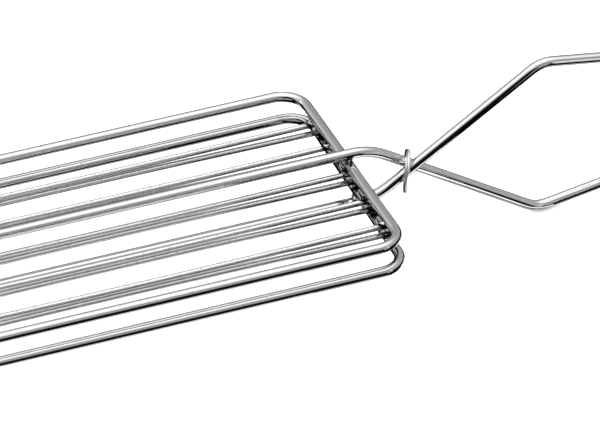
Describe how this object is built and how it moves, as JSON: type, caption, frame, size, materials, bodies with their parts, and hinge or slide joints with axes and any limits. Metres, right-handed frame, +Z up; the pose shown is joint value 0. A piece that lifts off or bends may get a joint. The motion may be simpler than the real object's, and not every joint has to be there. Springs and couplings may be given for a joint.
{
  "type": "wire sandwich toasting tongs",
  "caption": "Bare steel wire spring tongs: two long wire grids clamp a sandwich, their handle wires cross through a loose ring and meet in a spring coil.",
  "frame": {"origin": "centre of the spring coil at the handle's end, on its axis, midway between the two arms", "axes": "+Z up, square to the closed grids; +X from the grids towards the handle's end; +Y across the grids, along the coil's axis"},
  "size_m": [0.5296, 0.1328, 0.0836],
  "materials": {
    "frame_wire": "polished plated wire",
    "rod_wire": "polished plated wire with fine draw marks",
    "ring_wire": "polished plated wire",
    "weld": "dark pressed weld under plating"
  },
  "bodies": {
    "lower_grid": {"lower_frame": "frame_wire", "lower_rod_1": "rod_wire", "lower_rod_2": "rod_wire", "lower_rod_3": "rod_wire", "lower_rod_4": "rod_wire", "lower_rod_5": "rod_wire", "lower_front_welds": "weld", "lower_rear_welds": "weld", "lower_spine_welds": "weld", "lower_handle_wire": "frame_wire", "spring_coil": "frame_wire"},
    "upper_grid": {"upper_frame": "frame_wire", "upper_rod_1": "rod_wire", "upper_rod_2": "rod_wire", "upper_rod_3": "rod_wire", "upper_rod_4": "rod_wire", "upper_rod_5": "rod_wire", "upper_front_welds": "weld", "upper_rear_welds": "weld", "upper_spine_welds": "weld", "upper_handle_wire": "frame_wire"},
    "ring": {"crossing_ring": "ring_wire"}
  },
  "joints": [
    {"name": "squeeze", "type": "hinge", "parent": "lower_grid", "child": "upper_grid", "pos_m": [0, 0, 0], "axis": [0, 1, 0], "range_deg": [0, 12], "stiffness_Nm_per_rad": 4, "springref_deg": -8.59},
    {"name": "ring_slide", "type": "slide", "parent": "lower_grid", "child": "ring", "axis": [0.8395, 0, 0.5433], "range_m": [0, 0.0455]}
  ],
  "couplings": [
    {"joint": "ring_slide", "follows": "squeeze", "m_per_rad": 0.2163}
  ]
}
